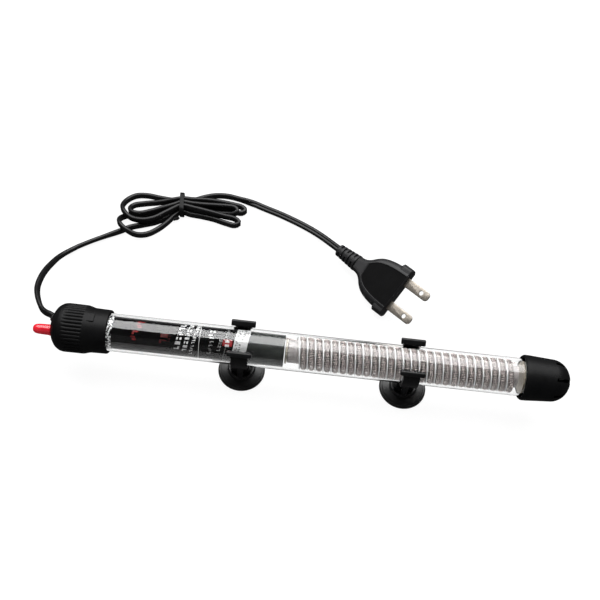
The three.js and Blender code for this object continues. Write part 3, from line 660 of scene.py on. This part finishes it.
def make_coil():
    """Resistance wire wound into a small coil, which is wound round the former in turn."""
    tall, wide, wire = 1.45, 1.6, 0.28
    loop_pitch, steps, sides = 1.3, 10, 5
    turn_length = math.hypot(2 * math.pi * COIL_RADIUS, COIL_PITCH)
    loops = int(COIL_TURNS * turn_length / loop_pitch)
    t = np.linspace(0, COIL_TURNS, loops * steps + 1)
    turn = 2 * np.pi * t
    spin = 2 * np.pi * loops * t / COIL_TURNS
    outward = np.stack([np.zeros_like(t), np.cos(turn), np.sin(turn)], axis=1)
    slope = COIL_PITCH / (2 * np.pi * COIL_RADIUS)
    forward = np.stack([np.full_like(t, slope), -np.sin(turn), np.cos(turn)], axis=1)
    forward /= np.linalg.norm(forward, axis=1)[:, None]
    sideways = np.cross(forward, outward)
    spine = COIL_RADIUS * outward
    spine[:, 0] += COIL_START + COIL_PITCH * t
    spine += np.array(AXIS)
    reach = np.cos(spin)[:, None] * outward + np.sin(spin)[:, None] * sideways
    path = spine + tall * np.cos(spin)[:, None] * outward + wide * np.sin(spin)[:, None] * sideways
    along = np.gradient(path, axis=0)
    along /= np.linalg.norm(along, axis=1)[:, None]
    side = np.cross(along, reach)
    side /= np.linalg.norm(side, axis=1)[:, None]
    rings = []
    for k in range(sides):
        angle = 2 * math.pi * k / sides
        rings.append(path + wire * (math.cos(angle) * reach + math.sin(angle) * side))
    verts = np.stack(rings, axis=1).reshape(-1, 3) * MM
    count = len(path)
    faces = []
    for i in range(count - 1):
        for k in range(sides):
            a, b = i * sides + k, i * sides + (k + 1) % sides
            faces.append((a, b, b + sides, a + sides))
    faces.append(tuple(range(sides))[::-1])
    faces.append(tuple(range((count - 1) * sides, count * sides)))
    mesh = bpy.data.meshes.new("nichrome_coil")
    mesh.from_pydata(verts.tolist(), [], faces)
    mesh.materials.append(COIL_GREY)
    mesh.shade_smooth()
    coil = bpy.data.objects.new("nichrome_coil", mesh)
    bpy.context.scene.collection.objects.link(coil)
    stand_for(coil, "root", "coil_metal", "heating_coil")


# ---- Head cap and knob ----
RIB_COUNT, RIB_START, RIB_END, RIB_DEPTH = 40, -143.4, -130.4, 0.65
RIB_RISE, RIB_FALL = 3.2, 0.9  # how far each end of a rib takes to reach its full depth
CAP_FACE = -151
KNOB_LINE = AXIS + Vector((0, -3, 0))  # a point on the knob's own axis
GLAND_SPOT = AXIS + Vector((CAP_FACE, 4.9, 1))  # where the cord comes out of the cap
GLAND_TURN = Matrix.Rotation(math.radians(-35), 3, "Z")


def ribbed(along, radius, angle):
    """Round-backed ribs that fade out at both ends of their zone."""
    if radius < 12.5 or not RIB_START < along < RIB_END:
        return radius
    fade = min(1.0, (along - RIB_START) / RIB_RISE, (RIB_END - along) / RIB_FALL)
    wave = abs(math.sin(angle * RIB_COUNT / 2))
    return radius - RIB_DEPTH * fade * (1 - wave ** 0.6)


def cap_rows():
    """The cap's outline, with enough points along it for the ribs."""
    outside = softened(
        [(CAP_FACE, 0), (CAP_FACE, 7), (-149.8, 9.9), (-147.9, 12.6), (-145.3, 14.35), (-142.8, 14.85),
         (-130.8, 14.75), (-126.8, 13.55), (-117.2, 13.3), (-116.5, 12.9), (-116.5, 11.85)], 0.9)
    dense = []
    for a, b in zip(outside, outside[1:]):
        steps = 14 if b.x - a.x > 8 else 1
        dense += [a.lerp(b, k / steps) for k in range(steps)]
    for zone_edge in (RIB_START, RIB_START + RIB_RISE, RIB_END - RIB_FALL, RIB_END):
        spot = next(i for i, p in enumerate(dense) if p.x > zone_edge)
        before, after = dense[spot - 1], dense[spot]
        share = (zone_edge - before.x) / (after.x - before.x)
        dense.insert(spot, before.lerp(after, share))
    inside = [(-116.5, 11.85), (-134.2, 11.8), (-134.2, 9), (-146, 9), (-146, 0)]
    return dense + inside


def make_cap():
    """The ribbed cap with its pad, and the openings for the knob's spindle and the cord."""
    cap = piece("ribbed_cap", lathe(cap_rows(), RIB_COUNT * 10, radius_at=ribbed), [CAP_BLACK])
    tilt = Matrix.Rotation(math.radians(-5), 3, "X")
    pad_outline = softened(box_outline((-130.4, -3), (-124.4, 3)), 0.8, closed=True)
    pad = placed(prism(pad_outline, 12.2, 13.95, "XYZ", bevel=0.5, segments=3), tilt, AXIS)
    combine(cap, [piece("pad", pad, [CAP_BLACK])], "UNION")
    hole = lathe([(-156, 0), (-156, 2.3), (-145, 2.3), (-145, 0)], 48, KNOB_LINE)
    gland = lathe([(-6, 0), (-6, 3.3), (2.7, 3.3), (2.7, 2.5), (8, 2.5), (8, 0)], 64, ORIGIN)
    placed(gland, GLAND_TURN, GLAND_SPOT)
    combine(cap, [piece("hole", hole, []), piece("gland_hole", gland, [])], "DIFFERENCE")
    stand_for(cap, "root", "head_plastic", "head_cap")


def make_knob():
    """A plain red knob with a round tip."""
    base = CAP_FACE - 0.3
    profile = softened(
        [(base, 0), (base, 3.5), (base - 0.9, 3.55), (base - 1.1, 3.3), (-158.8, 3.1), (-161.2, 2.75),
         (-162.5, 1.6), (-162.5, 0)], 1.1, steps=6)
    bm = lathe(profile, 96, KNOB_LINE)
    stand_for(piece("setting_knob", bm, [KNOB_RED]), "knob", "red_plastic", "temperature_knob")


# ---- End guard ----
GUARD_SLOTS = 7
FIRST_SLOT = 115  # degrees, where 90 is straight up and 180 is the front


def make_guard():
    """A round-ended sleeve with slots from its tip, and a boss inside that closes the tip's middle."""
    dome_x, dome_length, dome_radius = 151, 11.5, 12.8
    quarter = [k * math.pi / 48 for k in range(25)]
    dome = [(dome_x + dome_length * math.sin(a), dome_radius * math.cos(a)) for a in quarter]
    dome[-1] = (dome_x + dome_length, 0)
    mouth = softened(
        [(135.1, 11.85), (133, 12.3), (133, 13.1), (134, 13.8), (137, 13.75), (151, 12.8)], 0.5)
    inside = [(156, 0), (156, 2.4), (159.6, 3.4), (159, 6), (155, 9.6), (150, 11.3), (142, 11.85)]
    profile = inside + mouth[:-1] + dome
    guard = piece("slotted_guard", lathe(profile, 144), [GUARD_BLACK])
    cutters = []
    for k in range(GUARD_SLOTS):
        slot = prism(box_outline((151.5, 2.6), (164, 15)), -1.05, 1.05, "XYZ", bevel=0)
        turn = Matrix.Rotation(math.radians(FIRST_SLOT + 360 / GUARD_SLOTS * k), 3, "X")
        cutters.append(piece("slot", placed(slot, turn, AXIS), []))
    combine(guard, cutters, "DIFFERENCE")
    stand_for(guard, "root", "guard_rubber", "end_guard")


# ---- Clips and suction cups ----
CLIPS = {"head": -36.7, "tail": 66.1}  # where each clip sits along the tube
CLIP_OPENING = 42  # how many degrees above level its arms end


def clip_parts(x):
    """The parts of one clip, each with its own rounded edges."""
    turn_from, turn_to = 180 - CLIP_OPENING, 360 + CLIP_OPENING
    outer = arc(13.6, turn_from, turn_to, 56)
    inner = arc(11.8, turn_to, turn_from, 56)
    parts = [prism(outer + inner, x - 5, x + 5, bevel=0.3)]
    for lean in (CLIP_OPENING, 180 - CLIP_OPENING):
        outline = softened(box_outline((12.4, -1.5), (16.2, 1.5)), 0.9, 4, closed=True)
        lip = prism(outline, x - 7.35, x + 7.35, bevel=0.5, segments=3)
        parts.append(placed(lip, Matrix.Rotation(math.radians(lean), 3, "X")))
    foot = 5.6 - AXIS.z
    neck, tab_top = -12.4, -10.4
    # The stem, its foot, the wide thin fin across it, and the fin's two upright tabs.
    blocks = [
        ((x - 4.8, -3), (x + 4.8, 3), foot + 2, neck),
        ((x - 6.3, -4), (x + 6.3, 4), foot, foot + 2.4),
        ((x - 1.8, -8.2), (x + 1.8, 8.2), foot, neck),
        ((x - 1.8, -8.2), (x + 1.8, -6.4), neck - 1, tab_top),
        ((x - 1.8, 6.4), (x + 1.8, 8.2), neck - 1, tab_top),
    ]
    for near, far, low, high in blocks:
        parts.append(prism(box_outline(near, far), low, high, "XYZ", bevel=0.35))
    for part in parts:
        bmesh.ops.translate(part, verts=part.verts, vec=AXIS)
    stud = [(2.8, 0), (2.8, 2.9), (4.1, 2.9), (4.4, 2), (6.1, 2), (6.1, 0)]
    parts.append(lathe(stud, 48, Vector((x, 0, 0)), upright=True))
    return parts


def make_clip(end, x):
    """A C-shaped spring clip with flared lips, a stem and a stud for the cup."""
    parts = [piece(f"part_{k}", bm, [CLIP_BLACK]) for k, bm in enumerate(clip_parts(x))]
    clip = combine(parts[0], parts[1:], "UNION")
    clip.name = f"{end}_spring_clip"
    stand_for(clip, f"{end}_clip", "clip_plastic", f"clip_{end}")


def make_cup(end, x):
    """A suction cup with a flat rim and a grooved collar round the clip's stud."""
    profile = softened(
        [(1.5, 0), (1.3, 6), (0.3, 11.8), (0, 12.4), (0, 14.8), (0.9, 14.8), (1.6, 14), (1.75, 13.1),
         (2.05, 13), (2.75, 9.9), (3.0, 8.9), (3.2, 8.5), (4.7, 8.5), (5.2, 8.0), (5.2, 6.9),
         (4.8, 6.7), (4.8, 5.2), (5.2, 5.0), (5.2, 2.5), (4.5, 2.5), (4.4, 3.3), (2.3, 3.3), (2.3, 0)], 0.22)
    bm = lathe(profile, 112, Vector((x, 0, 0)), upright=True)
    cup = piece(f"{end}_suction_cup", bm, [CUP_BLACK])
    stand_for(cup, f"{end}_cup", "cup_rubber", f"suction_cup_{end}")


# ---- Wire tie round the hank ----
def tube(points, radius, sides=10):
    """A closed round tube along points."""
    path = [Vector(p) for p in points]
    rows = []
    for i, point in enumerate(path):
        along = (path[min(i + 1, len(path) - 1)] - path[max(i - 1, 0)]).normalized()
        side = along.cross(Vector((0, 0.3, 1))).normalized()
        over = side.cross(along)
        circle = [(math.cos(a), math.sin(a)) for a in (2 * math.pi * k / sides for k in range(sides))]
        rows.append([point + (side * u + over * v) * radius for u, v in circle])
    return capped(rows)


def make_tie():
    """A strip tie: a flat loop, its twist at the front, and two short ends."""
    x, middle_y, middle_z = -95, 121.6, 5.85
    loop = softened(box_outline((-8.4, -5.2), (8.4, 5.2)), 4.2, 10, closed=True)
    strip = softened(box_outline((-1.5, -0.32), (1.5, 0.32)), 0.25, 2, closed=True)
    rows = []
    for k, p in enumerate(loop):
        before, after = loop[k - 1], loop[(k + 1) % len(loop)]
        along = (after - before).normalized()
        out = Vector((along.y, -along.x))
        slant = -0.12 * p.x
        rows.append([
            Vector((x + slant + u, middle_y + p.x + out.x * v, middle_z + p.y + out.y * v))
            for u, v in strip])
    band = grid(rows, closed_rows=True)
    steps, turns = 24, 2.25
    ends = []
    for side in (1, -1):
        twist = []
        for k in range(steps + 1):
            t = k / steps
            angle = side * math.pi / 2 + t * 2 * turns * math.pi
            reach = 0.75 + 1.3 * max(0.0, t - 0.6) * side
            twist.append((x - 0.8 - 5.2 * t, 111.4 - 1.2 * t + reach * math.cos(angle),
                          3.6 - 1.4 * t + reach * math.sin(angle) * (1 - 0.5 * t)))
        ends.append(tube(twist, 0.62))
    tie = piece("wire_tie", merged(band, *ends), [TIE_BLACK])
    stand_for(tie, "root", "tie_plastic", "cord_tie")


# ---- Plug ----
PLUG_FRAME = (Matrix.Translation((59.4, 61.4, 13.95))
              @ Matrix.Rotation(math.radians(-40), 4, "Z")
              @ Matrix.Rotation(math.radians(-6), 4, "Y")
              @ Matrix.Rotation(math.radians(30), 4, "X"))
PLUG_BACK = -53.4
PANEL_START = -27.5
BLADE_SPACING = 18.9
# Places along the plug's body, with half its width and half its thickness there.
PLUG_STATIONS = [
    (-36, 5.4, 4.6), (-33.5, 5.7, 4.8), (-31, 6.6, 4.95), (-28.5, 8.4, 5.05), (-26, 10.9, 5.15),
    (-23, 13.2, 5.2), (-20, 14.6, 5.2), (-16.5, 15.6, 5.2), (-12.5, 16.3, 5.2), (-6.5, 16.8, 5.2),
    (-0.5, 17.0, 5.2),
]


def in_plug_frame(bm):
    bm.transform(PLUG_FRAME)
    return bm


def plug_section(half, thickness, panel):
    """One slice of the plug's body: a flat top and bottom, sloped shoulders and a low panel."""
    inset = min(3.4, half * 0.34)
    sink = 0.35 if panel else 0.0
    edge = half - inset
    side = [
        (edge - 1.5, thickness - sink), (edge - 1.15, thickness), (edge, thickness - 0.1),
        (edge + inset * 0.55, thickness * 0.72), (half - 0.25, thickness * 0.38),
        (half, thickness * 0.12)]
    quarter = side + [(y, -z) for y, z in reversed(side)]
    return quarter + [(-y, -z) for y, z in quarter]


def make_flange():
    """The plate round the blades, wider than the body, with its corners cut."""
    half, thick, edge, cut = 18.7, 4.7, 2.2, 1.68
    outline = [
        (-half, -edge), (cut - half, -thick), (half - cut, -thick), (half, -edge),
        (half, edge), (half - cut, thick), (cut - half, thick), (-half, edge)]
    bm = prism(softened(outline, 0.8, 3, closed=True), -8.0, -0.02, bevel=0.7, segments=3)
    return piece("flange", in_plug_frame(bm), [PLUG_BLACK])


def make_sockets():
    """Shapes that cut the openings in which the blades sit."""
    sockets = []
    for side in (1, -1):
        middle = side * BLADE_SPACING / 2
        outline = box_outline((middle - 3.4, -0.95), (middle + 3.4, 0.95))
        sockets.append(piece("socket", in_plug_frame(prism(outline, -5.3, 1, bevel=0)), []))
    return sockets


def make_plug_body():
    """The moulded body, with a low dark panel on its flat top and bottom."""
    rows = []
    for along, half, thick in smooth_path(PLUG_STATIONS, 0.9):
        section = plug_section(half, thick, along > PANEL_START)
        rows.append([Vector((along, y, z)) for y, z in section])
    bm = capped(rows)
    bm.normal_update()
    for face in bm.faces:
        middle = face.calc_center_median()
        level = abs(face.normal.z) > 0.9 and 4 < abs(middle.z) < 5.05
        face.material_index = 1 if level and middle.x > PANEL_START else 0
    body = piece("plug_moulding", in_plug_frame(bm), [PLUG_BLACK, PANEL_BLACK], sharp=25)
    combine(body, [make_flange()], "UNION")
    combine(body, make_sockets(), "DIFFERENCE")
    return body


def make_relief():
    """The strain relief: an inner sleeve, rings round it, and ribs that bridge them in turn."""
    ring_count, pitch = 6, 3.0
    parts = [lathe([(PLUG_BACK, 0), (PLUG_BACK, 3.3), (-32, 4.6), (-32, 0)], 48, ORIGIN)]
    for i in range(ring_count):
        x = PLUG_BACK + i * pitch
        radius = 4.35 + 0.26 * i
        ring = softened([(x, 2.6), (x, radius), (x + 1.8, radius + 0.1), (x + 1.8, 2.6)], 0.3, 3)
        parts.append(lathe(ring + [(x, 2.6)], 48, ORIGIN))
        outline = box_outline((x + 1.6, -1.7), (x + pitch + 0.2, 1.7))
        for tilt in (90, 270) if i % 2 else (180, 360):
            rib = prism(outline, 2.8, radius - 0.15, "XYZ", bevel=0.2)
            parts.append(placed(rib, Matrix.Rotation(math.radians(tilt), 3, "X")))
    return piece("strain_relief", in_plug_frame(merged(*parts)), [PLUG_BLACK])


def make_blade(number, side):
    """A folded sheet blade with a hole and chamfered tip."""
    half, reach, chamfer, root, half_sheet = 3.175, 18.8, 1.5, -5.0, 0.75
    outline = [
        (root, -half), (reach - chamfer, -half), (reach, -half + chamfer), (reach, half - chamfer),
        (reach - chamfer, half), (root, half)]
    middle = side * BLADE_SPACING / 2
    outline = [(along, y + middle) for along, y in softened(outline, 0.9, 4, closed=True)]
    sheet = prism(outline, -half_sheet, half_sheet, "XYZ", bevel=0.22)
    blade = piece(f"blade_{number}", in_plug_frame(sheet), [NICKEL])
    hole = lathe([(-2, 0), (-2, 1.55), (2, 1.55), (2, 0)], 40, Vector((12.6, middle, 0)), upright=True)
    return combine(blade, [piece("hole", in_plug_frame(hole), [])], "DIFFERENCE")


def make_plug():
    """All the plug's pieces, which go where the cord's end goes."""
    pieces = [
        stand_for(make_plug_body(), "root", "plug_vinyl", "plug_body"),
        stand_for(make_relief(), "root", "plug_vinyl")]
    for number, side in ((1, 1), (2, -1)):
        blade = make_blade(number, side)
        pieces.append(stand_for(blade, "root", "blade_metal", f"plug_blade_{number}"))
    return pieces


make_glass()
make_sleeve()
make_print()
make_bead()
make_sticker()
make_former()
make_coil()
make_cap()
make_knob()
make_guard()
for end_name, clip_x in CLIPS.items():
    make_clip(end_name, clip_x)
    make_cup(end_name, clip_x)
make_tie()
plug_pieces = make_plug()
finish_cad_nodes()


# ---- Floor and light ----
def make_floor():
    """A wide white floor, a hair below the cups."""
    mesh = bpy.data.meshes.new("floor")
    half = 4.0
    corners = [(-half, -half, 0), (half, -half, 0), (half, half, 0), (-half, half, 0)]
    mesh.from_pydata(corners, [], [(0, 1, 2, 3)])
    floor = bpy.data.objects.new("floor", mesh)
    floor.location.z = -0.00003
    bpy.context.scene.collection.objects.link(floor)
    paper = surface("floor_paper", grey(0.10), grey(0.11), 0.95, patch=400, depth=0.0)
    shader = paper.node_tree.nodes["Principled BSDF"]
    shader.inputs["Emission Color"].default_value = (1, 1, 1, 1)
    shader.inputs["Emission Strength"].default_value = 0.93
    shader.inputs["Specular IOR Level"].default_value = 0.0
    mesh.materials.append(paper)
    floor.visible_glossy = False


def softbox(name, direction, distance, size, power):
    """A rectangular light that faces the object."""
    data = bpy.data.lights.new(name, "AREA")
    data.shape = "RECTANGLE"
    data.size, data.size_y = size
    data.energy = power
    light = bpy.data.objects.new(name, data)
    aim = Vector(direction).normalized()
    light.location = aim * distance + Vector((0, 0.03, 0.02))
    light.rotation_mode = "QUATERNION"
    light.rotation_quaternion = aim.to_track_quat("Z", "Y")
    bpy.context.scene.collection.objects.link(light)


def make_light():
    """A wide light above and behind, a weak one in front, and a dim white world."""
    softbox("overhead_back", (0, 0.454, 0.891), 0.9, (1.5, 0.95), 29)
    softbox("front_fill", (-0.5, -0.8, 0.45), 1.4, (0.8, 0.8), 0.4)
    world = bpy.data.worlds.new("studio")
    world.use_nodes = True
    background = world.node_tree.nodes["Background"]
    background.inputs["Color"].default_value = (1, 1, 1, 1)
    background.inputs["Strength"].default_value = 0.06
    bpy.context.scene.world = world
    bpy.context.scene.view_settings.view_transform = "Standard"


make_floor()
make_light()
